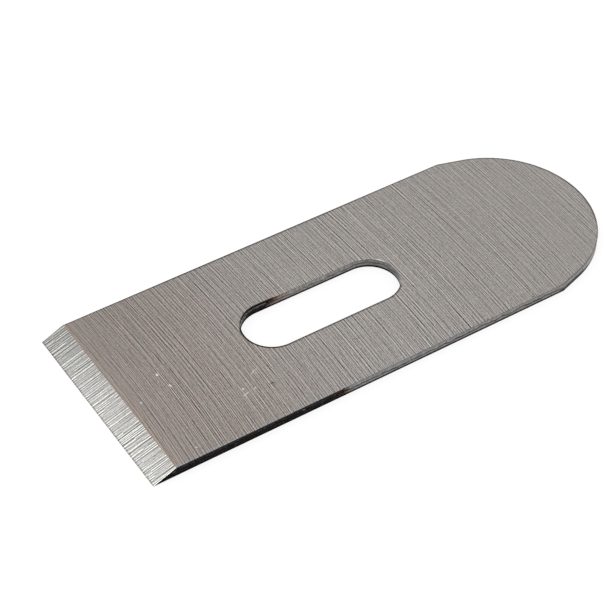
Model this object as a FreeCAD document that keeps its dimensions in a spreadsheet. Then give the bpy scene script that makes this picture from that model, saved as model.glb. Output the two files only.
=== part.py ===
import FreeCAD, Part
import Sketcher
import math
import os

# Plane iron: a flat steel blade with a ground bevel at one end, a round end with two
# short straight shoulders at the other, and one long slot for the screw of its cap.
# It is made as the real one is: a blank is cut from strip, the slot is punched, the
# rims are eased, and the bevel is ground last.
#
# Lengths are in millimetres. X runs from the cutting edge to the round end, Y across
# the blade and Z up from the flat underside. The origin is the middle of the underside.

doc = FreeCAD.newDocument("plane_iron")


# Driving sizes. Each is one named cell that the sketches and features read.
SIZES = [
    ("blade_length", 108.0),      # cutting edge to the top of the round end
    ("blade_width", 41.0),        # across the two long sides
    ("blade_thickness", 2.0),     # flat top to flat underside
    ("bevel_angle", 23.5),        # degrees, between the bevel and the underside
    ("end_inset", 0.65),          # how far inside the long sides the round end's arc keeps
    ("shoulder_angle", 17.0),     # degrees, by which each shoulder leaves its long side
    ("corner_radius", 2.0),       # plan rounding where a long side meets its shoulder
    ("slot_setback", 31.1),       # cutting edge to the near end of the slot
    ("slot_run", 33.3),           # end to end of the slot
    ("slot_width", 11.6),         # between the slot's straight walls
    ("rim_radius", 0.1),          # rounding of the eased rims, outside and in the slot
    ("bevel_overrun", 1.0),       # how far the bevel's grinding cut runs clear of the blank
]

sheet = doc.addObject("Spreadsheet::Sheet", "sizes")
for row, (alias, value) in enumerate(SIZES, start=1):
    sheet.set("A%d" % row, alias)
    sheet.set("B%d" % row, "%g" % value)
    sheet.setAlias("B%d" % row, alias)
doc.recompute()

# What follows from the driving sizes, as expressions that the constraints hold.
END_RADIUS = "(sizes.blade_width / 2 - sizes.end_inset)"
SLOT_END_RADIUS = "(sizes.slot_width / 2)"

# Two places nearer than this are the same.
TINY = 1e-6

# Ends of a sketch line or arc, and the sketch's own origin and axes.
START = 1
END = 2
CENTRE = 3
ORIGIN = (-1, 1)
ALONG = -1
ACROSS = -2

iron = doc.addObject("PartDesign::Body", "plane_iron")
iron.Label = "plane_iron"


def origin_plane(body, role):
    """The plane of the body's own origin that has the given role."""
    return [plane for plane in body.Origin.OriginFeatures if plane.Role == role][0]


def new_sketch(body, name, role):
    """A sketch that lies on one of the body's origin planes."""
    sketch = body.newObject("Sketcher::SketchObject", name)
    sketch.AttachmentSupport = [(origin_plane(body, role), "")]
    sketch.MapMode = "FlatFace"
    return sketch


def line(sketch, start, end):
    """Adds a straight line between two points of the sketch and gives its number."""
    first = FreeCAD.Vector(start[0], start[1], 0)
    last = FreeCAD.Vector(end[0], end[1], 0)
    return sketch.addGeometry(Part.LineSegment(first, last), False)


def arc(sketch, centre, radius, first_angle, last_angle):
    """Adds an arc that turns anticlockwise between two angles in degrees."""
    circle = Part.Circle(FreeCAD.Vector(centre[0], centre[1], 0), FreeCAD.Vector(0, 0, 1), radius)
    turn = Part.ArcOfCircle(circle, math.radians(first_angle), math.radians(last_angle))
    return sketch.addGeometry(turn, False)


def fix(sketch, *constraint):
    """Adds one constraint and gives its number."""
    return sketch.addConstraint(Sketcher.Constraint(*constraint))


def drive(sketch, name, expression, *constraint):
    """Adds a dimension, names it and binds it to an expression of the sizes."""
    number = fix(sketch, *constraint)
    sketch.renameConstraint(number, name)
    sketch.setExpression("Constraints." + name, expression)


def sketch_outline(body):
    """The blank's plan: square front, long sides, shoulders and the round end's arc."""
    sketch = new_sketch(body, "outline", "XY_Plane")
    half = sheet.blade_width / 2
    radius = half - sheet.end_inset
    centre = sheet.blade_length - radius
    turn = math.radians(sheet.shoulder_angle)
    touch = (centre + radius * math.sin(turn), radius * math.cos(turn))
    corner = touch[0] - (half - touch[1]) / math.tan(turn)
    far_angle = 90 - sheet.shoulder_angle

    front = line(sketch, (0, half), (0, -half))
    near_side = line(sketch, (0, -half), (corner, -half))
    near_shoulder = line(sketch, (corner, -half), (touch[0], -touch[1]))
    round_end = arc(sketch, (centre, 0), radius, -far_angle, far_angle)
    far_shoulder = line(sketch, touch, (corner, half))
    far_side = line(sketch, (corner, half), (0, half))

    fix(sketch, "Coincident", front, END, near_side, START)
    fix(sketch, "Coincident", near_side, END, near_shoulder, START)
    fix(sketch, "Coincident", far_shoulder, END, far_side, START)
    fix(sketch, "Coincident", far_side, END, front, START)
    fix(sketch, "Tangent", near_shoulder, END, round_end, START)
    fix(sketch, "Tangent", round_end, END, far_shoulder, START)
    fix(sketch, "PointOnObject", front, START, ACROSS)
    fix(sketch, "Horizontal", near_side)
    fix(sketch, "Horizontal", far_side)
    fix(sketch, "Symmetric", front, START, front, END, ALONG)
    fix(sketch, "Vertical", near_side, END, far_side, START)
    fix(sketch, "PointOnObject", round_end, CENTRE, ALONG)
    drive(sketch, "width", "sizes.blade_width", "DistanceY", front, END, front, START, 2 * half)
    drive(sketch, "end_radius", END_RADIUS, "Radius", round_end, radius)
    drive(sketch, "end_centre", "sizes.blade_length - " + END_RADIUS,
          "DistanceX", ORIGIN[0], ORIGIN[1], round_end, CENTRE, centre)
    drive(sketch, "shoulder", "sizes.shoulder_angle * 1 deg",
          "Angle", near_side, START, near_shoulder, START, turn)
    return sketch


def sketch_slot(body):
    """The slot's plan: two straight walls and a half round at each end."""
    sketch = new_sketch(body, "slot_outline", "XY_Plane")
    radius = sheet.slot_width / 2
    front_centre = sheet.slot_setback + radius
    back_centre = sheet.slot_setback + sheet.slot_run - radius

    near_wall = line(sketch, (front_centre, -radius), (back_centre, -radius))
    back_end = arc(sketch, (back_centre, 0), radius, -90, 90)
    far_wall = line(sketch, (back_centre, radius), (front_centre, radius))
    front_end = arc(sketch, (front_centre, 0), radius, 90, 270)

    fix(sketch, "Tangent", near_wall, END, back_end, START)
    fix(sketch, "Tangent", back_end, END, far_wall, START)
    fix(sketch, "Tangent", far_wall, END, front_end, START)
    fix(sketch, "Tangent", front_end, END, near_wall, START)
    fix(sketch, "PointOnObject", front_end, CENTRE, ALONG)
    fix(sketch, "PointOnObject", back_end, CENTRE, ALONG)
    fix(sketch, "Equal", front_end, back_end)
    drive(sketch, "end_radius", SLOT_END_RADIUS, "Radius", front_end, radius)
    drive(sketch, "front_centre", "sizes.slot_setback + " + SLOT_END_RADIUS,
          "DistanceX", ORIGIN[0], ORIGIN[1], front_end, CENTRE, front_centre)
    drive(sketch, "back_centre", "sizes.slot_setback + sizes.slot_run - " + SLOT_END_RADIUS,
          "DistanceX", ORIGIN[0], ORIGIN[1], back_end, CENTRE, back_centre)
    return sketch


def sketch_bevel(body):
    """Side view of what the grinding takes: all that lies in front of the bevel's slope."""
    sketch = new_sketch(body, "bevel_profile", "XZ_Plane")
    clear = sheet.bevel_overrun
    top = sheet.blade_thickness + clear
    slope = math.radians(sheet.bevel_angle)

    bevel = line(sketch, (0, 0), (top / math.tan(slope), top))
    over = line(sketch, (top / math.tan(slope), top), (-clear, top))
    ahead = line(sketch, (-clear, top), (-clear, 0))
    under = line(sketch, (-clear, 0), (0, 0))

    fix(sketch, "Coincident", bevel, END, over, START)
    fix(sketch, "Coincident", over, END, ahead, START)
    fix(sketch, "Coincident", ahead, END, under, START)
    fix(sketch, "Coincident", under, END, bevel, START)
    fix(sketch, "Coincident", bevel, START, *ORIGIN)
    fix(sketch, "Horizontal", over)
    fix(sketch, "Vertical", ahead)
    fix(sketch, "Horizontal", under)
    drive(sketch, "slope", "sizes.bevel_angle * 1 deg", "Angle", ALONG, START, bevel, START, slope)
    drive(sketch, "rise", "sizes.blade_thickness + sizes.bevel_overrun",
          "DistanceY", bevel, START, bevel, END, top)
    drive(sketch, "ahead_of_edge", "sizes.bevel_overrun",
          "DistanceX", under, START, under, END, clear)
    return sketch


def corner_edges(feature):
    """Names of the upright edges where a long side meets its shoulder."""
    names = []
    for number, edge in enumerate(feature.Shape.Edges, start=1):
        box = edge.BoundBox
        upright = box.XLength < TINY and box.YLength < TINY
        on_side = abs(abs(box.YMin) - sheet.blade_width / 2) < TINY
        if upright and on_side and box.XMin > TINY:
            names.append("Edge%d" % number)
    return names


def rim_edges(feature):
    """Names of the edges round both flat faces, apart from the square front's."""
    names = []
    for number, edge in enumerate(feature.Shape.Edges, start=1):
        box = edge.BoundBox
        if box.ZLength < TINY and box.XMax > TINY:
            names.append("Edge%d" % number)
    return names


def cut_through(body, name, sketch):
    """A pocket that runs right through the body both ways from its sketch."""
    pocket = body.newObject("PartDesign::Pocket", name)
    pocket.Profile = sketch
    pocket.Type = "ThroughAll"
    pocket.Midplane = True
    return pocket


# The blank is cut from flat strip.
blank = iron.newObject("PartDesign::Pad", "blank")
blank.Profile = sketch_outline(iron)
blank.setExpression("Length", "sizes.blade_thickness")
doc.recompute()

# Its shoulder corners are slightly rounded in plan.
corners = iron.newObject("PartDesign::Fillet", "rounded_corners")
corners.Base = (blank, corner_edges(blank))
corners.setExpression("Radius", "sizes.corner_radius")
doc.recompute()

# The slot is punched through it.
slot = cut_through(iron, "slot", sketch_slot(iron))
doc.recompute()

# Every rim but the front's is eased, on both faces and round the slot.
rims = iron.newObject("PartDesign::Fillet", "eased_rims")
rims.Base = (slot, rim_edges(slot))
rims.setExpression("Radius", "sizes.rim_radius")
doc.recompute()

# The bevel is ground on the upper face, down to the cutting edge at the underside.
bevel = cut_through(iron, "bevel", sketch_bevel(iron))
doc.recompute()

# The blade's own frame has its origin at the middle of the underside.
iron.Tip = bevel
iron.setExpression("Placement.Base.x", "-sizes.blade_length / 2")
doc.recompute()

# Each step after the blank has to take metal away, and nothing may be left failed or open.
steps = [blank, corners, slot, rims, bevel]
for before, after in zip(steps, steps[1:]):
    if not after.Shape.Volume < before.Shape.Volume:
        raise RuntimeError("%s took nothing away" % after.Name)
for item in doc.Objects:
    if "Invalid" in item.State or "Error" in item.State:
        raise RuntimeError("%s could not be built" % item.Name)
if iron.Shape.isNull() or not iron.Shape.isValid() or len(iron.Shape.Solids) != 1:
    raise RuntimeError("the blade isn't one valid solid")

os.makedirs("parts", exist_ok=True)
iron.Shape.exportStep("parts/%s.step" % iron.Label)
print("volume %.1f cubic mm" % iron.Shape.Volume)
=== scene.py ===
import bpy
import math
import numpy as np
from mathutils import Matrix, Vector


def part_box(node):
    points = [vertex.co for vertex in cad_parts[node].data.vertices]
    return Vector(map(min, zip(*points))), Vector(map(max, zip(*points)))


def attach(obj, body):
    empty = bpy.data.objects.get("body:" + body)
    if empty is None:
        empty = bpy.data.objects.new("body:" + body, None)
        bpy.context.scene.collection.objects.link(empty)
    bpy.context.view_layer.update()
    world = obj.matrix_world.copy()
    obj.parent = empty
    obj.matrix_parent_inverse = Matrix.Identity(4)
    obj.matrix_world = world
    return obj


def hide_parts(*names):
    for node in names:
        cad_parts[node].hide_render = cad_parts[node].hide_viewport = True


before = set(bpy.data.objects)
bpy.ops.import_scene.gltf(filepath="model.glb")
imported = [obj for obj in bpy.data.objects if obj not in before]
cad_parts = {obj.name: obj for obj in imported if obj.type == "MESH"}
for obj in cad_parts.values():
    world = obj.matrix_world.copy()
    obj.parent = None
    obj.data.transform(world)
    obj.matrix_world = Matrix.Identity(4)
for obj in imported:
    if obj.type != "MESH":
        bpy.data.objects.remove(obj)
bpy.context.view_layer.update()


# Camera
# It stands at the front left of the blade and looks down on it at 44 degrees, the way
# the picture of the real one was taken.
lens = 0.11168
sensor = 0.036
looks_at = Vector((-0.008165, 0.002656, 0.0))
stands_off = 0.35367
looks_toward = math.radians(56.611)
looks_down = math.radians(44.305)
leans = math.radians(0.481)
mm_per_metre = 1000

sight = Vector((math.cos(looks_down) * math.cos(looks_toward),
                math.cos(looks_down) * math.sin(looks_toward),
                -math.sin(looks_down)))
level_right = sight.cross(Vector((0, 0, 1))).normalized()
level_up = level_right.cross(sight)
right = level_right * math.cos(leans) + level_up * math.sin(leans)
up = right.cross(sight)

camera_data = bpy.data.cameras.new("camera")
camera_data.lens = lens * mm_per_metre
camera_data.sensor_width = sensor * mm_per_metre
camera_data.sensor_fit = "HORIZONTAL"
camera_data.clip_start = 0.01
camera_data.clip_end = 20.0
camera = bpy.data.objects.new("camera", camera_data)
turn = Matrix((right, up, -sight)).transposed().to_4x4()
camera.matrix_world = Matrix.Translation(looks_at - sight * stands_off) @ turn
bpy.context.scene.collection.objects.link(camera)
bpy.context.scene.camera = camera
bpy.context.scene.view_settings.view_transform = "Standard"


# Table and light
# A plain white table under a white sky, and one large soft lamp beyond the cutting end,
# which the bevel mirrors and which throws the blade's faint shadow to the near right.
table_reach = 2.0
table_drop = 0.00003
table_colour = (0.26, 0.26, 0.26, 1)
table_glow = 0.82
sky_fill = 0.78
softbox_place = Vector((-0.216, 0.166, 0.342))
softbox_width = 0.26
softbox_glow = 0.66


def add_node(tree, kind, **settings):
    """A new node of one kind, with its own settings set by name."""
    node = tree.nodes.new(kind)
    for name, value in settings.items():
        setattr(node, name, value)
    return node


def feed(tree, socket, value):
    """Joins a socket to an output, or sets the socket's own value."""
    if isinstance(value, bpy.types.NodeSocket):
        tree.links.new(value, socket)
    else:
        socket.default_value = value


def calc(tree, work, *values):
    """One step of arithmetic on numbers or outputs."""
    node = add_node(tree, "ShaderNodeMath", operation=work)
    for place, value in enumerate(values):
        feed(tree, node.inputs[place], value)
    return node.outputs[0]


def seen_ray(tree):
    """1 for the rays that show the background: from the camera, off metal or through glass."""
    path = add_node(tree, "ShaderNodeLightPath")
    direct = calc(tree, "MAXIMUM", path.outputs["Is Camera Ray"], path.outputs["Is Glossy Ray"])
    return calc(tree, "MAXIMUM", direct, path.outputs["Is Transmission Ray"])


def table_paint():
    """Matt white that glows a little where it is seen, so that it ends up white with a faint shadow."""
    paint = bpy.data.materials.new("table_white")
    paint.use_nodes = True
    paint.cycles.emission_sampling = "NONE"
    tree = paint.node_tree
    tree.nodes.clear()
    matt = add_node(tree, "ShaderNodeBsdfDiffuse")
    matt.inputs["Color"].default_value = table_colour
    glow = add_node(tree, "ShaderNodeEmission")
    feed(tree, glow.inputs["Strength"], calc(tree, "MULTIPLY", seen_ray(tree), table_glow))
    both = add_node(tree, "ShaderNodeAddShader")
    tree.links.new(matt.outputs[0], both.inputs[0])
    tree.links.new(glow.outputs[0], both.inputs[1])
    tree.links.new(both.outputs[0], add_node(tree, "ShaderNodeOutputMaterial").inputs["Surface"])
    return paint


corners = [(-table_reach, -table_reach, -table_drop), (table_reach, -table_reach, -table_drop),
           (table_reach, table_reach, -table_drop), (-table_reach, table_reach, -table_drop)]
table_mesh = bpy.data.meshes.new("table")
table_mesh.from_pydata(corners, [], [(0, 1, 2, 3)])
table_mesh.materials.append(table_paint())
table = bpy.data.objects.new("table", table_mesh)
bpy.context.scene.collection.objects.link(table)

sky = bpy.data.worlds.new("sky")
sky.use_nodes = True
sky_tree = sky.node_tree
background = sky_tree.nodes["Background"]
background.inputs["Color"].default_value = (1, 1, 1, 1)
shown = calc(sky_tree, "MULTIPLY", seen_ray(sky_tree), 1 - sky_fill)
feed(sky_tree, background.inputs["Strength"], calc(sky_tree, "ADD", shown, sky_fill))
bpy.context.scene.world = sky

softbox_data = bpy.data.lights.new("softbox", "AREA")
softbox_data.shape = "DISK"
softbox_data.size = softbox_width
softbox_data.energy = softbox_glow * math.pi * math.pi * (softbox_width / 2) ** 2
softbox = bpy.data.objects.new("softbox", softbox_data)
softbox.matrix_world = (Matrix.Translation(softbox_place)
                        @ softbox_place.to_track_quat("Z", "Y").to_matrix().to_4x4())
bpy.context.scene.collection.objects.link(softbox)


# Blade
# One flat bar of tool steel: blanked from strip with a round tail and a long slot, its
# rims eased, and its front ground to a bevel. The whole skin is one closed grid that
# runs round the outline one way and round the bar's section the other way.
low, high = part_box("plane_iron")
front = low.x
half_width = high.y
thickness = high.z
length = high.x - low.x
bevel_slope = math.radians(23.5)
tail_inset = 0.00065
shoulder_turn = math.radians(17.0)
shoulder_round = 0.0020
slot_setback = 0.0311
slot_run = 0.0333
slot_half = 0.0058
rim_radius = 0.00006
foot_radius = 0.00003

# How finely the grid divides the outline, the bevel's front, each rim and each wall. A run
# this little before a stretch's start or past its end still counts as on it.
column_step = 0.00020
least_columns = 4
slack_before = 1e-12
slack_past = 1e-9
front_columns = 200
rim_rows = 4
wall_rows = 13
slot_rows = 13


def along_path(start, stretches, run):
    """Points and headings on a path of stretches, each a length and the angle it turns by.
    On a stretch of curvature k that starts at heading a, a point that lies a run w on is off by
    (sin(a + k w) - sin a, cos a - cos(a + k w)) / k, or by w along the heading where k is 0."""
    x = np.zeros_like(run)
    y = np.zeros_like(run)
    heading = np.zeros_like(run)
    begin = 0.0
    here = start
    angle = 0.0
    for reach, bend in stretches:
        inside = (run >= begin - slack_before) & (run <= begin + reach + slack_past)
        gone = np.append(run[inside] - begin, reach)
        curve = bend / reach
        turned = angle + curve * gone
        if bend:
            steps_x = (np.sin(turned) - math.sin(angle)) / curve
            steps_y = (math.cos(angle) - np.cos(turned)) / curve
        else:
            steps_x = gone * math.cos(angle)
            steps_y = gone * math.sin(angle)
        x[inside] = here[0] + steps_x[:-1]
        y[inside] = here[1] + steps_y[:-1]
        heading[inside] = turned[:-1]
        here = (here[0] + steps_x[-1], here[1] + steps_y[-1])
        begin += reach
        angle += bend
    return x, y, heading


tail_radius = half_width - tail_inset
tail_centre = front + length - tail_radius
touch_x = tail_centre + tail_radius * math.sin(shoulder_turn)
shoulder_drop = half_width - tail_radius * math.cos(shoulder_turn)
corner_x = touch_x - shoulder_drop / math.tan(shoulder_turn)
corner_cut = shoulder_round * math.tan(shoulder_turn / 2)
side_run = corner_x - corner_cut - front
corner_run = shoulder_round * shoulder_turn
shoulder_run = shoulder_drop / math.sin(shoulder_turn) - corner_cut
tail_turn = math.pi - 2 * shoulder_turn
half_outline = [(side_run, 0.0), (corner_run, shoulder_turn), (shoulder_run, 0.0)]
outline = half_outline + [(tail_radius * tail_turn, tail_turn)] + half_outline[::-1]
outline_run = sum(reach for reach, bend in outline)


def spaced_run(stretches):
    """Runs along the path, about one column step apart, with one on the start of each stretch."""
    begin = 0.0
    parts = []
    for reach, bend in stretches:
        count = max(least_columns, round(reach / column_step))
        parts.append(begin + reach * np.arange(count) / count)
        begin += reach
    return np.append(np.concatenate(parts), begin)


def rounded_rows(rows_between):
    """Inset and height of each row up a wall: a quarter round, a straight wall, a quarter round.
    A quarter round of radius r at an angle a is r (1 - sin a) in from the wall, and r (1 - cos a)
    up from the underside or down from the upper face."""
    angle = np.linspace(0, math.pi / 2, rim_rows)
    inward = 1 - np.sin(angle)
    away = 1 - np.cos(angle)
    straight = np.linspace(foot_radius, thickness - rim_radius, rows_between + 2)[1:-1]
    heights = np.concatenate([foot_radius * away, straight, thickness - rim_radius * away[::-1]])
    insets = np.concatenate([foot_radius * inward, np.zeros(rows_between), rim_radius * inward[::-1]])
    return insets, heights


def smooth_step(value, low_end, high_end):
    """0 below the low end, 1 above the high end, and 3 t t - 2 t t t between."""
    t = np.clip((value - low_end) / (high_end - low_end), 0, 1)
    return t * t * (3 - 2 * t)


# The torn band of a punched wall: how deep it is, where it starts and ends, as shares of the
# thickness and in metres, and the waves that it is made of.
fracture_depth = 0.000035
least_torn = 0.35
burnished_share = 0.46
torn_fade = 0.12
foot_fade = 0.00015
wave_count = 14
wave_pitches = (0.0006, 0.004)
wave_leans = (-1.5, 1.5)
wave_starts = (0, 6.28)
wave_span = 10
side_seed = 11
slot_seed = 23


def broken_steel(run, height, seed):
    """How far the punched wall stands back: nothing in the burnished band under the upper
    face, and below it a torn band, set back by a sum of sine waves of the run and height."""
    draw = np.random.default_rng(seed)
    torn_from = burnished_share * thickness
    torn_full = (burnished_share + torn_fade) * thickness
    torn = smooth_step(thickness - height, torn_from, torn_full)
    kept = smooth_step(height, foot_radius, foot_radius + foot_fade)
    waves = np.zeros(np.broadcast(run, height).shape)
    for _ in range(wave_count):
        pitch = draw.uniform(*wave_pitches)
        lean = draw.uniform(*wave_leans)
        start = draw.uniform(*wave_starts)
        waves += np.sin(2 * math.pi * (run + lean * height) / pitch + start)
    waves = np.clip(0.5 + waves / wave_span, 0, 1)
    return torn * kept * fracture_depth * (least_torn + (1 - least_torn) * waves)


# The outer band: rows climb from the underside to the upper face, columns go round from the
# near front corner, past the tail, to the far front corner and back across the bevel.
insets, heights = rounded_rows(wall_rows)
run = spaced_run(outline)
bevel_reach = heights[:, None] / math.tan(bevel_slope)
from_front = run[None, :]
from_back = outline_run - run[None, :]
shrink = (side_run - bevel_reach) / side_run
row_run = np.where(from_front < side_run, bevel_reach + from_front * shrink, from_front)
row_run = np.where(from_back < side_run, outline_run - (bevel_reach + from_back * shrink), row_run)
x, y, heading = along_path((front, -half_width), outline, row_run)
set_in = insets[:, None] + broken_steel(row_run, heights[:, None], side_seed)
skirt_x = x - set_in * np.sin(heading)
skirt_y = y + set_in * np.cos(heading)
skirt_x[:, [0, -1]] = front + bevel_reach
share = np.arange(1, front_columns) / front_columns
bevel_y = skirt_y[:, -1:] + (skirt_y[:, :1] - skirt_y[:, -1:]) * share
bevel_x = np.repeat(front + bevel_reach, front_columns - 1, axis=1)
band_x = np.hstack([skirt_x, bevel_x])
band_y = np.hstack([skirt_y, bevel_y])
band_z = np.repeat(heights[:, None], band_x.shape[1], axis=1)
columns = band_x.shape[1]
wall_columns = len(run) - 1

# The slot's band has a column for each column of the outer band: the point of the slot's
# rim that lies nearest. Its rows go down again from the upper face to the underside.
slot_front = front + slot_setback + slot_half
slot_back = front + slot_setback + slot_run - slot_half
rim_x, rim_y = band_x[-1], band_y[-1]
axis_x = np.clip(rim_x, slot_front, slot_back)
outward = np.stack([rim_x - axis_x, rim_y])
outward /= np.linalg.norm(outward, axis=0)
slot_angle = np.arctan2(outward[1], outward[0])
slot_walk = axis_x + slot_half * slot_angle
slot_insets, slot_heights = rounded_rows(slot_rows)
slot_insets, slot_heights = slot_insets[::-1], slot_heights[::-1]
slot_set_in = broken_steel(slot_walk[None, :], slot_heights[:, None], slot_seed)
slot_reach = slot_half + slot_insets[:, None] + slot_set_in
slot_x = axis_x + outward[0] * slot_reach
slot_y = outward[1] * slot_reach
slot_z = np.repeat(slot_heights[:, None], columns, axis=1)


# Both flat faces are ruled between the bands, with narrow strips beside the rims.
strip = 0.004
shares = np.array([strip, 0.25, 0.5, 0.75, 1 - strip])


def ruled(first, last):
    """Rows between two rows: each is the first plus a share of the way to the last."""
    return first + (last - first) * shares[:, None]


def round_the_bar(band, slot_band):
    """All rows in turn: the outer band, the upper face, the slot's band and the underside."""
    upper_face = ruled(band[-1], slot_band[0])
    underside = ruled(slot_band[-1], band[0])
    return np.vstack([band, upper_face, slot_band, underside])


grid_x = round_the_bar(band_x, slot_x)
grid_y = round_the_bar(band_y, slot_y)
grid_z = round_the_bar(band_z, slot_z)
rows = grid_x.shape[0]
band_rows = len(heights)

# How far each point of the upper face lies from the rim beside it, in millimetres. The rims
# that look to the far right carry a painted dark reflection and the others don't, so a rim that
# looks another way counts as further off, and so does the bevel's top edge, which isn't a rim.
# Round the tail all rims are darker, and those that look another way only a little. Round the
# slot's front a thin line of every rim is black. The underside counts as far off everywhere.
far_off = 1.5
dark_way = math.radians(56.6)
way_fades = (-0.1, 0.25)
tail_rim_darkening = 0.85
tail_rim_darkening_starts = (0.080, 0.090)
black_line = 0.18
black_line_ends = (0.0405, 0.0430)
rim_way = np.append(heading[-1], np.full(front_columns - 1, 1.5 * math.pi)) - math.pi / 2
outline_lag = far_off * (1 - smooth_step(np.cos(rim_way - dark_way), *way_fades))
outline_lag *= 1 - tail_rim_darkening * smooth_step(rim_x - front, *tail_rim_darkening_starts)
slot_lag = far_off * (1 - smooth_step(-np.cos(slot_angle - dark_way), *way_fades))
past_black = smooth_step(slot_x[0] - front, *black_line_ends)
slot_lag = np.minimum(slot_lag, black_line + far_off * past_black)
rim_gap = np.full((rows, columns), far_off)
face_width = mm_per_metre * np.hypot(slot_x[0] - rim_x, slot_y[0] - rim_y)
from_outline = shares[:, None] * face_width + outline_lag
from_slot = (1 - shares)[:, None] * face_width + slot_lag
slot_starts = band_rows + len(shares)
rim_gap[band_rows - rim_rows:band_rows] = outline_lag
rim_gap[band_rows:slot_starts] = np.minimum(from_outline, from_slot)
rim_gap[slot_starts:slot_starts + rim_rows] = slot_lag

# Each face takes the four corners of its cell, and both ways round the grid closes on itself.
row = np.arange(rows)[:, None]
column = np.arange(columns)[None, :]
next_row = (row + 1) % rows
next_column = (column + 1) % columns
cells = np.stack([row * columns + column, row * columns + next_column,
                  next_row * columns + next_column, next_row * columns + column], axis=-1)
face_rows = np.repeat(np.arange(rows)[:, None], columns, axis=1)
face_columns = np.repeat(column, rows, axis=0)

# The finishes, in the order of the mesh's materials. The strips of each upper rim that lie
# next to the flat face are ground with it, all but the lowest.
flat_finish = 0
bevel_finish = 1
side_finish = 2
slot_finish = 3
ground_strips = rim_rows - 2
in_band = face_rows < band_rows - 1
on_slot_wall = (face_rows >= slot_starts) & (face_rows < rows - len(shares) - 1)
finish = np.full((rows, columns), flat_finish)
finish[in_band & (face_columns >= wall_columns)] = bevel_finish
finish[in_band & (face_columns < wall_columns)] = side_finish
finish[on_slot_wall] = slot_finish
past_side = face_rows >= band_rows - 1 - ground_strips
before_slot = face_rows < slot_starts + ground_strips
finish[past_side & before_slot & (finish >= side_finish)] = flat_finish

blade_mesh = bpy.data.meshes.new("ground_iron")
points = np.stack([grid_x, grid_y, grid_z], axis=-1).reshape(-1, 3)
faces = cells.reshape(-1, 4)
blade_mesh.vertices.add(len(points))
blade_mesh.vertices.foreach_set("co", points.ravel())
blade_mesh.loops.add(faces.size)
blade_mesh.loops.foreach_set("vertex_index", faces.ravel())
blade_mesh.polygons.add(len(faces))
blade_mesh.polygons.foreach_set("loop_start", np.arange(0, faces.size, 4))
blade_mesh.polygons.foreach_set("material_index", finish.ravel())
blade_mesh.polygons.foreach_set("use_smooth", np.ones(len(faces), bool))
blade_mesh.update(calc_edges=True)
blade_mesh.validate()

# An edge is sharp where the bevel meets anything else.
corner_edges = np.zeros(len(blade_mesh.loops), int)
blade_mesh.loops.foreach_get("edge_index", corner_edges)
is_bevel = np.repeat((finish.ravel() == bevel_finish).astype(int), 4)
least = np.ones(len(blade_mesh.edges), int)
most = np.zeros(len(blade_mesh.edges), int)
np.minimum.at(least, corner_edges, is_bevel)
np.maximum.at(most, corner_edges, is_bevel)
sharp = blade_mesh.attributes.new("sharp_edge", "BOOLEAN", "EDGE")
sharp.data.foreach_set("value", least != most)

gap_values = blade_mesh.attributes.new("rim_gap", "FLOAT", "POINT")
gap_values.data.foreach_set("value", rim_gap.ravel())

blade = bpy.data.objects.new("ground_iron", blade_mesh)
bpy.context.scene.collection.objects.link(blade)
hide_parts("plane_iron")
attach(blade, "root")


# Finish of the flat faces
# They were ground across the blade on a large wheel, which left fine lines that run across
# it in wide arcs. The steel is a warm grey, browner near the bevel.
warm_grey = (0.285, 0.252, 0.233, 1)
plain_grey = (0.325, 0.303, 0.286, 1)
brown_grey = (0.315, 0.271, 0.240, 1)
rim_grey = (0.298, 0.296, 0.302, 1)
rim_brown = (0.340, 0.235, 0.190, 1)
rosy = (1.070, 0.970, 1.025, 1)
greenish = (0.932, 1.030, 0.975, 1)
in_mm = (mm_per_metre, mm_per_metre, mm_per_metre)

# Lumps of the noises in a metre along each axis, and how far a noise is shifted.
patch_lumps = (160, 100, 60)
mottle_lumps = (600, 380, 60)
mottle_shift = (0.3, 0.7, 0)

# The wheel's centre in metres, and in millimetres its radius, how far from its centre the
# first line lies, and how the lines' spacing grows from there.
grind_centre = (-0.3232, 0.0025)
grind_radius = 323.0
first_line = 269.0
first_spacing = 1.02
spacing_change = -0.0004

# Each layer of lines: its pitch and its reach in millimetres, and its weight. A row of them
# is shifted by up to fifty reaches.
grain_pitch = 0.10
grain_reach = 0.15
most_shift = 50.0
flat_layers = [(0.35, 60.0, 1.00), (0.30, 12.0, 1.24), (0.26, 3.0, 0.80)]
flat_grain = 0.62

# Changes along the blade, in metres from the cutting edge: the span that each takes, and
# its values at the two ends of the span.
bevel_end = 0.0046
soft_by_bevel = (bevel_end, 0.0125, 0.60, 1.0)
soft_by_tail = (0.070, 0.095, 1.0, 0.75)
warm_to_plain = (0.016, 0.046)
brown_by_bevel = (bevel_end, 0.0070, 1, 0)
mottle_strength = (*warm_to_plain, 0.9, 0.5)
cool_ends = (0.065, 0.080, 1.0, 0.0)
scale_ends = (0.0345, 0.0385, 0.28, 0.0)
# Painted shade on the far side near the cutting edge, and where the painted lean across the face ends.
far_side_painted_shade = (0.016, 0.024, 0.98, 1.0)
painted_lean_ends = (0.055, 0.070)

# Changes across the blade, in metres from its middle, told in the same way.
cool_by_side = (0.0002 - half_width, 0.0006 - half_width, 0.8, 0.0)
beside_slot = (1.05 * slot_half, 1.10 * slot_half, 1, 0)
far_rim_reach = (-0.002, 0.002, 0.0, 0.0040)
# Where the painted lean runs across the face, and how much lighter the near side is painted.
painted_lean_across = (0.002, 0.014)
near_side_painted_light = 1.045

# The dark rims, partly a painted reflection: how far in they fade, in millimetres, how dark they
# are, and how much brown the heat left on them.
rim_fades = (0.20, 0.42)
rim_shade = 0.31
rim_heat = 3.0

# The shade of the patches, the roughness of the lines, and how far the lines stand out.
patch_shade = (0.2, 0.8, 0.97, 1.03)
flat_gloss = (-0.6, 0.6, 0.46, 0.36)
ground_relief = (0.1, 0.00001)

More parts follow.
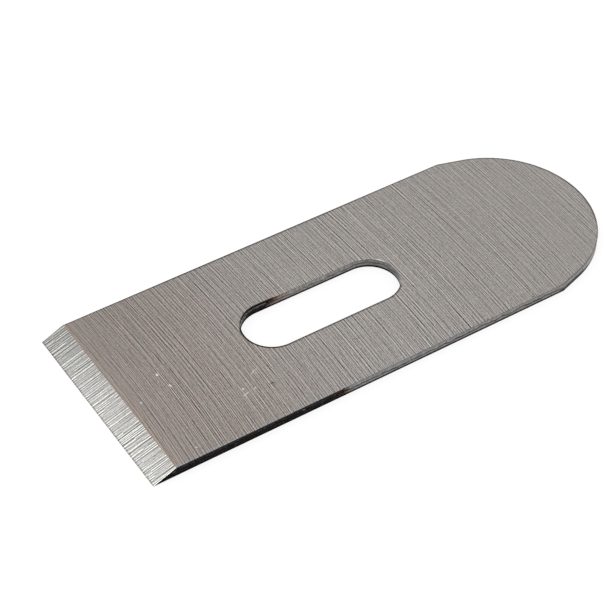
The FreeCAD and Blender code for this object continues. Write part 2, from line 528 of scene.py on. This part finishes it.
# Small marks on the upper face only, in millimetres from the cutting edge and the middle:
# where each starts and ends, how wide it is to each side, and how strong it is. A mark is
# full up to one share of its half width from its middle line and gone at the other.
mark_full = 0.4
mark_gone = 1.4
fleck_grey = (0.80, 0.78, 0.76, 1)
flecks = [((12.74, 0.18), (12.74, 0.30), 0.22, 1.00), ((13.37, -3.08), (13.44, -3.52), 0.15, 0.80),
          ((7.01, -4.07), (7.05, -4.20), 0.15, 0.75), ((9.86, -18.36), (9.95, -18.36), 0.15, 0.60),
          ((26.95, -8.70), (27.70, -8.27), 0.14, 0.38), ((27.70, -8.27), (28.45, -8.08), 0.14, 0.34),
          ((23.80, -10.95), (23.86, -11.05), 0.17, 0.80),
          ((23.21, -12.43), (24.23, -12.13), 0.15, 0.50),
          ((25.75, -11.95), (25.90, -11.85), 0.16, 0.55),
          ((25.00, -10.20), (25.10, -10.30), 0.12, 0.22),
          ((23.33, -12.87), (23.43, -12.80), 0.14, 0.30), ((27.78, -8.84), (27.90, -8.84), 0.14, 0.34),
          ((69.23, -5.30), (69.40, -5.25), 0.14, 0.30), ((65.70, 18.50), (66.15, 3.00), 0.35, 0.10),
          ((66.15, 3.00), (65.90, -8.00), 0.35, 0.10)]
pits = [((28.48, -12.55), (29.05, -12.50), 0.14, 0.48), ((29.05, -12.50), (29.45, -12.70), 0.14, 0.45),
        ((64.55, -5.70), (64.55, -5.78), 0.16, 0.60), ((53.88, -10.86), (53.88, -10.97), 0.14, 0.45),
        ((58.96, -15.09), (58.96, -15.20), 0.14, 0.50), ((47.30, -11.15), (48.20, -11.60), 0.13, 0.30),
        ((49.29, -11.89), (49.29, -12.00), 0.13, 0.35), ((28.67, -19.19), (28.67, -19.10), 0.13, 0.40),
        ((38.35, -7.86), (38.35, -7.96), 0.13, 0.35), ((81.60, -20.20), (81.80, -20.20), 0.16, 0.50),
        ((70.93, -20.35), (71.10, -20.35), 0.16, 0.55)]

# Painted highlights of burrs that glint beside the rim at the slot's back end, told in the same way.
burr_painted_glints = [((60.02, 5.70), (60.33, 5.55), 0.14, 0.60), ((60.89, 5.34), (61.17, 5.20), 0.14, 0.60),
         ((62.57, 4.26), (62.62, 4.22), 0.14, 0.60), ((62.85, 4.01), (63.24, 3.76), 0.15, 0.70),
         ((63.21, 3.58), (63.45, 3.38), 0.16, 0.95), ((63.53, 3.10), (63.75, 2.85), 0.14, 0.65)]


def blend_colours(tree, factor, first, second, mode="MIX"):
    """A mix of two colours or outputs by a factor."""
    node = add_node(tree, "ShaderNodeMix", data_type="RGBA", blend_type=mode)
    feed(tree, node.inputs[0], factor)
    feed(tree, node.inputs[6], first)
    feed(tree, node.inputs[7], second)
    return node.outputs[2]


def noise(tree, place, detail=1.0):
    """Soft random values about 0.5 at the given places, one lump a unit."""
    node = add_node(tree, "ShaderNodeTexNoise")
    feed(tree, node.inputs["Vector"], place)
    node.inputs["Scale"].default_value = 1.0
    node.inputs["Detail"].default_value = detail
    node.inputs["Roughness"].default_value = 0.5
    return node.outputs[0]


def stretch(tree, place, scale, shift=(0, 0, 0)):
    """The places multiplied by a scale on each axis, then shifted."""
    node = add_node(tree, "ShaderNodeMapping")
    feed(tree, node.inputs["Vector"], place)
    node.inputs["Scale"].default_value = scale
    node.inputs["Location"].default_value = shift
    return node.outputs[0]


def ramp(tree, value, low_in, high_in, low_out=0.0, high_out=1.0):
    """A value carried in a straight line from one span to another, and held at the ends."""
    node = add_node(tree, "ShaderNodeMapRange")
    feed(tree, node.inputs[0], value)
    for place, number in enumerate((low_in, high_in, low_out, high_out), start=1):
        feed(tree, node.inputs[place], number)
    return node.outputs[0]


def split(tree, place):
    """The three numbers of a place."""
    node = add_node(tree, "ShaderNodeSeparateXYZ")
    feed(tree, node.inputs[0], place)
    return node.outputs


def join(tree, *values):
    """A place made of two or three numbers."""
    node = add_node(tree, "ShaderNodeCombineXYZ")
    for socket, value in zip(node.inputs, values):
        feed(tree, socket, value)
    return node.outputs[0]


def dice(tree, *values):
    """A random number from 0 to 1 for each set of whole numbers."""
    node = add_node(tree, "ShaderNodeTexWhiteNoise", noise_dimensions="3D")
    feed(tree, node.inputs["Vector"], join(tree, *values))
    return node.outputs["Value"]


def scratches(tree, across, along, pitch, reach, draw):
    """Random values about 0 in long thin cells, as a wheel's grains leave them. Rows one pitch wide
    are cut into runs one reach long, each row from a start of its own, and each run gets a value."""
    row = calc(tree, "FLOOR", calc(tree, "DIVIDE", across, pitch))
    shift = calc(tree, "MULTIPLY", dice(tree, row, draw, 0.5), most_shift)
    run = calc(tree, "FLOOR", calc(tree, "ADD", calc(tree, "DIVIDE", along, reach), shift))
    return calc(tree, "SUBTRACT", dice(tree, row, run, draw), 0.5)


def ribs(tree, across, along, layers, grain):
    """Scratches of several pitches and reaches added up by weight, and fine grains. Across each
    row the value goes as one turn of a sine, because metal that leaves a groove rises beside it."""
    grains = scratches(tree, across, along, grain_pitch, grain_reach, 0.0)
    total = calc(tree, "MULTIPLY", grains, grain)
    for draw, (pitch, reach, weight) in enumerate(layers, start=1):
        wave = calc(tree, "SINE", calc(tree, "MULTIPLY", across, 2 * math.pi / pitch))
        wave = calc(tree, "MULTIPLY", wave, weight)
        values = scratches(tree, across, along, pitch, reach, draw)
        total = calc(tree, "MULTIPLY_ADD", values, wave, total)
    return total


def mark(tree, place, start, end, half_wide):
    """1 on a straight mark, fading to 0 about its half width. The nearest point of the mark lies a
    share of the way along it: the place's offset dotted with the mark's way, over its length
    squared, held between 0 and 1."""
    way = Vector((end[0] - start[0], end[1] - start[1], 0))
    offset = add_node(tree, "ShaderNodeVectorMath", operation="SUBTRACT")
    feed(tree, offset.inputs[0], place)
    offset.inputs[1].default_value = (start[0], start[1], 0)
    share = add_node(tree, "ShaderNodeVectorMath", operation="DOT_PRODUCT")
    feed(tree, share.inputs[0], offset.outputs[0])
    share.inputs[1].default_value = way / way.length_squared
    nearest = shaded(tree, tuple(way), ramp(tree, share.outputs["Value"], 0, 1))
    apart = add_node(tree, "ShaderNodeVectorMath", operation="DISTANCE")
    feed(tree, apart.inputs[0], offset.outputs[0])
    feed(tree, apart.inputs[1], nearest)
    return ramp(tree, apart.outputs["Value"], mark_full * half_wide, mark_gone * half_wide, 1, 0)


def marks(tree, place, listed, way, start_value):
    """The start value with each listed mark's strength added where the mark is, or taken away."""
    total = start_value
    for start, end, half_wide, strength in listed:
        here = mark(tree, place, start, end, half_wide)
        total = calc(tree, "MULTIPLY_ADD", here, way * strength, total)
    return total


def shaded(tree, colour, shade):
    """A colour made darker or lighter by a factor."""
    node = add_node(tree, "ShaderNodeVectorMath", operation="SCALE")
    feed(tree, node.inputs[0], colour)
    feed(tree, node.inputs["Scale"], shade)
    return node.outputs[0]


def new_steel(name):
    """A new material with its nodes, its shader and the places on the blade, in metres."""
    steel = bpy.data.materials.new(name)
    steel.use_nodes = True
    tree = steel.node_tree
    here = add_node(tree, "ShaderNodeTexCoord").outputs["Object"]
    return steel, tree, tree.nodes["Principled BSDF"], here


def add_relief(tree, shader, height, strength, rise):
    """Dents and ridges that follow a height, which is worth one rise in metres a unit."""
    bump = add_node(tree, "ShaderNodeBump")
    bump.inputs["Strength"].default_value = strength
    bump.inputs["Distance"].default_value = rise
    feed(tree, bump.inputs["Height"], height)
    feed(tree, shader.inputs["Normal"], bump.outputs[0])


def ground_steel():
    """Surface-ground steel. In places worked out as (distance from the wheel's centre, way along
    its arc), scratches of several widths and lengths are added up, and the sum shades the grey.
    The rims are dark, partly a painted reflection, and browned by the heat beside the slot's front."""
    steel, tree, shader, here = new_steel("ground_steel")
    shift = (-mm_per_metre * grind_centre[0], -mm_per_metre * grind_centre[1], 0)
    centred = stretch(tree, here, in_mm, shift)
    off_x, off_y = split(tree, centred)[:2]
    squares = calc(tree, "ADD", calc(tree, "MULTIPLY", off_x, off_x),
                   calc(tree, "MULTIPLY", off_y, off_y))
    across = calc(tree, "SUBTRACT", calc(tree, "SQRT", squares), first_line)
    spacing = calc(tree, "MULTIPLY_ADD", across, spacing_change, first_spacing)
    across = calc(tree, "MULTIPLY", across, spacing)
    along = calc(tree, "MULTIPLY", calc(tree, "ARCTAN2", off_y, off_x), grind_radius)
    lines = ribs(tree, across, along, flat_layers, flat_grain)
    patches = noise(tree, stretch(tree, here, patch_lumps), detail=2.0)

    # The greys and browns.
    x, y = split(tree, here)[:2]
    from_edge = calc(tree, "SUBTRACT", x, front)
    lines = calc(tree, "MULTIPLY", lines, ramp(tree, from_edge, *soft_by_bevel))
    lines = calc(tree, "MULTIPLY", lines, ramp(tree, from_edge, *soft_by_tail))
    tone = blend_colours(tree, ramp(tree, from_edge, *warm_to_plain), warm_grey, plain_grey)
    tone = blend_colours(tree, ramp(tree, from_edge, *brown_by_bevel), tone, brown_grey)
    mottle = noise(tree, stretch(tree, here, mottle_lumps, mottle_shift))
    tint = blend_colours(tree, mottle, rosy, greenish)
    tone = blend_colours(tree, ramp(tree, from_edge, *mottle_strength), tone, tint, "MULTIPLY")
    cool = calc(tree, "MULTIPLY", ramp(tree, y, *cool_by_side), ramp(tree, from_edge, *cool_ends))
    tone = blend_colours(tree, cool, tone, rim_grey)

    # The rims: heat brown, and dark, a painted reflection where they look to the far right.
    gap = add_node(tree, "ShaderNodeAttribute", attribute_name="rim_gap").outputs["Fac"]
    by_slot = ramp(tree, calc(tree, "ABSOLUTE", y), *beside_slot)
    heated = calc(tree, "SUBTRACT", from_edge, ramp(tree, y, *far_rim_reach))
    scaled = calc(tree, "MULTIPLY", by_slot, ramp(tree, heated, *scale_ends))
    browned = calc(tree, "MULTIPLY", scaled, ramp(tree, gap, *rim_fades, rim_heat, 0.0))
    tone = blend_colours(tree, browned, tone, rim_brown)
    # Painted dark reflection on the rims that look to the far right, darker rims round the tail, and
    # the slot front's black line.
    at_rim = ramp(tree, gap, *rim_fades, calc(tree, "SUBTRACT", rim_shade, scaled), 1.0)

    # The shade with its painted light and shade across the front, and the small marks.
    shade = calc(tree, "ADD", lines, ramp(tree, patches, *patch_shade))
    # Painted light and shade: the front of the face is lighter towards the near side and a little
    # darker towards the far side.
    far_painted_shade = ramp(tree, from_edge, *far_side_painted_shade)
    lean = ramp(tree, y, *painted_lean_across, near_side_painted_light, far_painted_shade)
    shade = calc(tree, "MULTIPLY", shade, ramp(tree, from_edge, *painted_lean_ends, lean, 1.0))
    shade = calc(tree, "MULTIPLY", shade, at_rim)
    shift = (-mm_per_metre * front, 0, -mm_per_metre * thickness)
    flat_place = stretch(tree, here, in_mm, shift)
    shade = calc(tree, "MULTIPLY", shade, marks(tree, flat_place, pits, -1, 1.0))
    # Bright flecks, and the burrs' painted highlights by the slot's back rim.
    bright = marks(tree, flat_place, flecks + burr_painted_glints, 1, 0.0)
    colour = blend_colours(tree, bright, shaded(tree, tone, shade), fleck_grey)
    feed(tree, shader.inputs["Base Color"], colour)
    shader.inputs["Metallic"].default_value = 1.0
    feed(tree, shader.inputs["Roughness"], ramp(tree, lines, *flat_gloss))
    add_relief(tree, shader, lines, *ground_relief)
    return steel


blade_mesh.materials.append(ground_steel())


# Finish of the bevel
# It is fresh from the wheel, brighter than the faces, with lines that run down the slope.
bevel_grey = (0.372, 0.368, 0.352, 1)
arris_cream = (0.400, 0.375, 0.345, 1)

# The lines' slant and layers, the level that they are added to, how much the strong ones are
# brightened, the nicks in the cutting edge, and the tint and the gloss.
bevel_slant = 0.075
bevel_layers = [(0.43, 14.0, 1.65), (0.38, 7.0, 1.25), (0.32, 1.5, 0.65)]
bevel_grain = 0.48
bevel_level = 0.96
streak_gain = 0.30
nick_depth = 0.0004
nick_lumps = (0, 1600, 0)
bevel_mottle = 0.6
bevel_mottle_lumps = (500, 350, 60)
bevel_mottle_shift = (0.1, 0.4, 0)
bevel_gloss = (-1.0, 1.0, 0.26, 0.18)

# Shades up the slope, in metres from the cutting edge.
slope_shade = (0.0, bevel_end, 1.08, 0.90)
edge_shade = (-0.00012, 0.00012, 0.50, 1.0)
cream_starts = (0.0043, 0.0045)

# Shades in from the far side and from the near side, and out from the middle, in metres: a
# painted highlight beside the near arris, and the softbox's painted reflection, dimmer at the
# far corner and brighter in the middle.
far_arris_shade = (0.00012, 0.00036, 0.45, 1.0)
near_arris_painted_glint = (0.00012, 0.00026, 2.1, 1.0)
far_corner_painted_shade = (0.0125, 0.0150, 1.0, 0.88)
middle_painted_light = (0.0035, 0.0050, 1.05, 1.0)


def bevel_steel():
    """Bright ground steel. Its scratches run along lines of constant y + 0.075 x. Their sum and a
    share of its square shade the grey, which is lighter low on the slope, has a painted highlight
    beside the near arris and the softbox's painted reflection, dim at the far corner and bright in
    the middle, and is dark along the cutting edge and beside the far arris."""
    steel, tree, shader, here = new_steel("bevel_steel")
    x, y = split(tree, here)[:2]
    along = calc(tree, "MULTIPLY", x, mm_per_metre)
    slanted = calc(tree, "MULTIPLY", along, bevel_slant)
    across = calc(tree, "ADD", calc(tree, "MULTIPLY", y, mm_per_metre), slanted)
    lines = ribs(tree, across, along, bevel_layers, bevel_grain)
    squares = calc(tree, "MULTIPLY", lines, lines)
    streaks = calc(tree, "MULTIPLY_ADD", squares, streak_gain, lines)
    from_edge = calc(tree, "SUBTRACT", x, front)
    slope = ramp(tree, from_edge, *slope_shade)
    shade = calc(tree, "MULTIPLY", calc(tree, "ADD", streaks, bevel_level), slope)
    nicks = noise(tree, stretch(tree, here, nick_lumps), detail=2.0)
    # The dark line along the cutting edge, made ragged by the nicks.
    nicked_from_edge = calc(tree, "ADD", from_edge, calc(tree, "MULTIPLY", nicks, -nick_depth))
    shade = calc(tree, "MULTIPLY", shade, ramp(tree, nicked_from_edge, *edge_shade))
    from_far = calc(tree, "SUBTRACT", half_width, y)
    shade = calc(tree, "MULTIPLY", shade, ramp(tree, from_far, *far_arris_shade))
    from_near = calc(tree, "ADD", half_width, y)
    # Painted highlight by the near arris; painted reflection, dim at the far corner and bright in the
    # middle.
    shade = calc(tree, "MULTIPLY", shade, ramp(tree, from_near, *near_arris_painted_glint))
    shade = calc(tree, "MULTIPLY", shade, ramp(tree, y, *far_corner_painted_shade))
    off_middle = calc(tree, "ABSOLUTE", y)
    shade = calc(tree, "MULTIPLY", shade, ramp(tree, off_middle, *middle_painted_light))
    mottle = noise(tree, stretch(tree, here, bevel_mottle_lumps, bevel_mottle_shift))
    tint = blend_colours(tree, mottle, rosy, greenish)
    tone = blend_colours(tree, ramp(tree, from_edge, *cream_starts), bevel_grey, arris_cream)
    tone = blend_colours(tree, bevel_mottle, tone, tint, "MULTIPLY")
    feed(tree, shader.inputs["Base Color"], shaded(tree, tone, shade))
    shader.inputs["Metallic"].default_value = 1.0
    feed(tree, shader.inputs["Roughness"], ramp(tree, lines, *bevel_gloss))
    add_relief(tree, shader, lines, *ground_relief)
    return steel


blade_mesh.materials.append(bevel_steel())


# Finish of the walls
# The cutting end was hardened, which left its walls black, then a narrow brown band where
# the heat ran out, a little further back in the middle, and bare punched steel to the tail.
scale_upper = (0.032, 0.031, 0.033, 1)
scale_lower = (0.021, 0.019, 0.016, 1)
temper_brown = (0.075, 0.042, 0.030, 1)
temper_tan = (0.93, 0.71, 0.62, 1)
warm_soot = (1.10, 1.00, 0.90, 1)
cool_soot = (0.94, 0.95, 1.07, 1)
lavender = (1.03, 0.98, 1.05, 1)
moss = (0.98, 1.01, 0.95, 1)
bare_upper = (0.240, 0.232, 0.224, 1)
no_tint = (1, 1, 1, 1)

# The outer walls and the slot's: how far from the cutting edge the black ends, the grey of
# the torn band, where the tan fades after that, how much sooner the brown ends low on the
# wall, how dark the crack between the bands is, the line under the rim in front and behind,
# the painted light on the black's middle at the front and by its end, and the slot's back shade.
side_wall = {"black_ends": 0.0373, "torn_grey": (0.215, 0.210, 0.207, 1),
             "tan_fades": (0.0016, 0.0045), "slant": (0.0, 0.0), "crack": 0.03,
             "top_line": (1.0, 0.66), "painted_glows": (1.0, 1.0), "back_shade": 1.0}
slot_wall = {"black_ends": 0.0381, "torn_grey": (0.225, 0.218, 0.212, 1),
             "tan_fades": (0.0036, 0.0058), "slant": (-0.0002, 0.0020), "crack": 0.25,
             "top_line": (0.04, 0.78), "painted_glows": (13.0, 4.5), "back_shade": 0.75}

# Steps past the black's end, in metres, and how far they wander. The wall's slant is taken up
# over a span of depth about the line between the bands.
middle_lag = 0.0014
heat_wander = 0.002
brown_starts = (-0.0006, 0.0008)
bare_starts = (0.0012, 0.0032)
slant_span = (-0.0008, 0.0008)

# The line between the burnished and the torn band: from where to where along the blade it goes
# down, and its depths there, because round the tail the wall is sheared almost to its foot.
# A dark crack runs just below it, thinner on bare steel, and lighter where the spots are high.
band_depth = (0.089, 0.096, burnished_share * thickness, 0.90 * thickness)
band_wander = 0.0011
band_fades = (-0.00006, 0.00010)
crack_below = 0.00008
crack_half = (0.00017, 0.00011)
crack_fade = 0.00010
crack_gaps = 0.35
gap_span = (0.2, 0.8)

# Changes along the walls, in metres from the cutting edge: the middle and the half width of the
# black's band of painted light, the slot's back, the dark part by the cutting edge and the line
# under the rim. The dark line along the foot, a painted contact shadow, is higher near the shoulders.
glow_middle = (0.0345, 0.0360, 0.00085, 0.00060)
glow_half = (0.0345, 0.0360, 0.00045, 0.00015)
glow_span = (0.0325, 0.0360)
glow_fade = 0.00012
back_span = (0.0585, 0.0615)
edge_dark = (0.0025, 0.0060, 0.4, 1.0)
top_line_span = (0.0395, 0.0430)
top_line_depth = (*top_line_span, 0.00030, 0.00020)
top_line_fade = 0.00012
shoulder_at = 0.0925
foot_height = (0.002, 0.005, 0.00085, 0.00036)
foot_painted_shadow = (0, 0.00016, 0.02, 1.0)

# Lumps of the noises in a metre along each axis, and how far they are shifted.
sheared_lumps = (4000, 4000, 400)
grain_lumps = (3000, 3000, 2000)
drift_lumps = (500, 500, 200)
spot_lumps = (650, 650, 700)
spot_shift = (0.4, 0.2, 0)
soot_lumps = (2300, 2300, 2600)
soot_shift = (0.2, 0.1, 0.6)

# Spans of the noises and what they stand for, the shine of the black, and how far the grain
# stands out.
spot_span = (0.35, 0.65)
soot_shade = (0.34, 0.66, 0.15, 1.85)
rough_shade = (0.2, 0.8, 0.55, 1.45)
wall_gloss = (0.2, 0.8, 0.36, 0.5)
wall_shine = 0.02
wall_relief = (0.4, 0.00003)

# Small marks on the near side wall, in millimetres from the cutting edge and from the foot.
side_flecks = [((30.45, 1.30), (30.70, 1.30), 0.14, 0.32), ((16.40, 0.98), (16.60, 0.98), 0.14, 0.12),
               ((4.00, 1.16), (4.30, 1.20), 0.14, 0.16), ((34.30, 0.90), (34.45, 0.90), 0.12, 0.10)]


def wall_heat(tree, from_edge, y, below, wander, wall):
    """How far the wall has gone from black to brown and from brown to bare, and how much tan is
    left on it. The black ends further back in the middle of the blade, by a lag times 1 - m m
    where m is y over the half width, and the brown ends sooner or later down the wall."""
    middle = calc(tree, "DIVIDE", y, half_width)
    outward_share = calc(tree, "MULTIPLY", middle, middle)
    lag = calc(tree, "MULTIPLY", calc(tree, "SUBTRACT", 1.0, outward_share), middle_lag)
    past = calc(tree, "SUBTRACT", calc(tree, "SUBTRACT", from_edge, wall["black_ends"]), lag)
    past = calc(tree, "ADD", past, calc(tree, "MULTIPLY", wander, heat_wander))
    to_brown = ramp(tree, past, *brown_starts)
    past = calc(tree, "ADD", past, ramp(tree, below, *slant_span, *wall["slant"]))
    to_bare = ramp(tree, past, *bare_starts)
    tan = ramp(tree, past, *wall["tan_fades"], 1, 0)
    return to_brown, to_bare, tan


def painted_soot_light(tree, from_edge, depth, to_brown, wall):
    """Painted light on a lengthwise band of the black wall: the soot is made lighter by the wall's
    painted glow within half the band's width of its middle, falling to 1 beside it and where the
    brown starts."""
    band_middle = ramp(tree, from_edge, *glow_middle)
    off_band = calc(tree, "ABSOLUTE", calc(tree, "SUBTRACT", depth, band_middle))
    glow_here = ramp(tree, from_edge, *glow_span, *wall["painted_glows"])
    band_glow = ramp(tree, to_brown, 0.0, 0.5, glow_here, 1.0)
    half_band = ramp(tree, from_edge, *glow_half)
    past_band = calc(tree, "SUBTRACT", off_band, half_band)
    return ramp(tree, past_band, 0.0, glow_fade, band_glow, 1.0)


def dark_lines(tree, shade, from_edge, height, depth, below, spots, to_bare, wall):
    """The shade with three dark lines in it: under the rim, along the crack between the bands,
    which has gaps where the spots are high, and along the foot, a painted contact shadow,
    higher at the shoulders."""
    line_shade = ramp(tree, from_edge, *top_line_span, *wall["top_line"])
    off_top = calc(tree, "SUBTRACT", depth, ramp(tree, from_edge, *top_line_depth))
    shade = calc(tree, "MULTIPLY", shade, ramp(tree, off_top, 0.0, top_line_fade, line_shade, 1.0))
    off_line = calc(tree, "ABSOLUTE", calc(tree, "SUBTRACT", below, crack_below))
    crack_shade = ramp(tree, spots, *gap_span, wall["crack"], wall["crack"] + crack_gaps)
    off_crack = calc(tree, "SUBTRACT", off_line, ramp(tree, to_bare, 0, 1, *crack_half))
    shade = calc(tree, "MULTIPLY", shade, ramp(tree, off_crack, 0.0, crack_fade, crack_shade, 1.0))
    # The painted contact shadow along the foot, higher near the shoulders.
    off_shoulder = calc(tree, "ABSOLUTE", calc(tree, "SUBTRACT", from_edge, shoulder_at))
    foot = ramp(tree, off_shoulder, *foot_height)
    over_foot = calc(tree, "SUBTRACT", height, foot)
    return calc(tree, "MULTIPLY", shade, ramp(tree, over_foot, *foot_painted_shadow))


def wall_steel(name, wall):
    """Punched steel. The way from the cutting edge picks black, brown or bare, and the depth
    picks the burnished or the torn band. The black is sooty, with warm and cool spots and a
    band of painted light in the slot, and the bare steel is tinted a little in the same spots."""
    steel, tree, shader, here = new_steel(name)
    x, y, height = split(tree, here)
    sheared = noise(tree, stretch(tree, here, sheared_lumps))
    grain = noise(tree, stretch(tree, here, grain_lumps))
    drift = noise(tree, stretch(tree, here, drift_lumps))
    wander = calc(tree, "SUBTRACT", drift, 0.5)
    from_edge = calc(tree, "SUBTRACT", x, front)
    depth = calc(tree, "SUBTRACT", thickness, height)

    # The burnished and the torn band, and how far the heat went.
    band_edge = calc(tree, "MULTIPLY_ADD", wander, band_wander, ramp(tree, from_edge, *band_depth))
    below = calc(tree, "SUBTRACT", depth, band_edge)
    band = ramp(tree, below, *band_fades)
    scale = blend_colours(tree, band, scale_upper, scale_lower)
    bare = blend_colours(tree, band, bare_upper, wall["torn_grey"])
    to_brown, to_bare, tan = wall_heat(tree, from_edge, y, below, wander, wall)
    heated = blend_colours(tree, to_brown, scale, temper_brown)
    tanned = blend_colours(tree, tan, no_tint, temper_tan)
    bare = blend_colours(tree, 1.0, bare, tanned, "MULTIPLY")
    colour = blend_colours(tree, to_bare, heated, bare)
    spots = noise(tree, stretch(tree, here, spot_lumps, spot_shift))
    spots = ramp(tree, spots, *spot_span)
    tint = blend_colours(tree, to_bare, blend_colours(tree, spots, warm_soot, cool_soot),
                         blend_colours(tree, spots, lavender, moss))
    colour = blend_colours(tree, 1.0, colour, tint, "MULTIPLY")

    # The shade.
    texture = blend_colours(tree, band, sheared, grain)
    shade = ramp(tree, texture, *rough_shade)
    soot = noise(tree, stretch(tree, here, soot_lumps, soot_shift))
    sooty = ramp(tree, soot, *soot_shade)
    # Painted light: a lighter band on the black wall at the slot's front.
    glow = painted_soot_light(tree, from_edge, depth, to_brown, wall)
    sooty = calc(tree, "MULTIPLY", sooty, glow)
    shade = calc(tree, "MULTIPLY", shade, ramp(tree, to_bare, 0, 1, sooty, 1.0))
    at_back = ramp(tree, from_edge, *back_span, 1.0, wall["back_shade"])
    shade = calc(tree, "MULTIPLY", shade, at_back)
    shade = calc(tree, "MULTIPLY", shade, ramp(tree, from_edge, *edge_dark))
    shade = dark_lines(tree, shade, from_edge, height, depth, below, spots, to_bare, wall)

    # The small marks, and the gloss.
    wall_place = join(tree, calc(tree, "MULTIPLY", from_edge, mm_per_metre),
                      calc(tree, "MULTIPLY", height, mm_per_metre))
    bright = marks(tree, wall_place, side_flecks, 1, 0.0)
    on_near_side = calc(tree, "LESS_THAN", y, -2 * slot_half)
    bright = calc(tree, "MULTIPLY", bright, on_near_side)
    colour = blend_colours(tree, bright, shaded(tree, colour, shade), fleck_grey)
    feed(tree, shader.inputs["Base Color"], colour)
    feed(tree, shader.inputs["Metallic"], to_bare)
    feed(tree, shader.inputs["Roughness"], ramp(tree, grain, *wall_gloss))
    shader.inputs["Specular IOR Level"].default_value = wall_shine
    add_relief(tree, shader, grain, *wall_relief)
    return steel


blade_mesh.materials.append(wall_steel("side_steel", side_wall))
blade_mesh.materials.append(wall_steel("slot_steel", slot_wall))
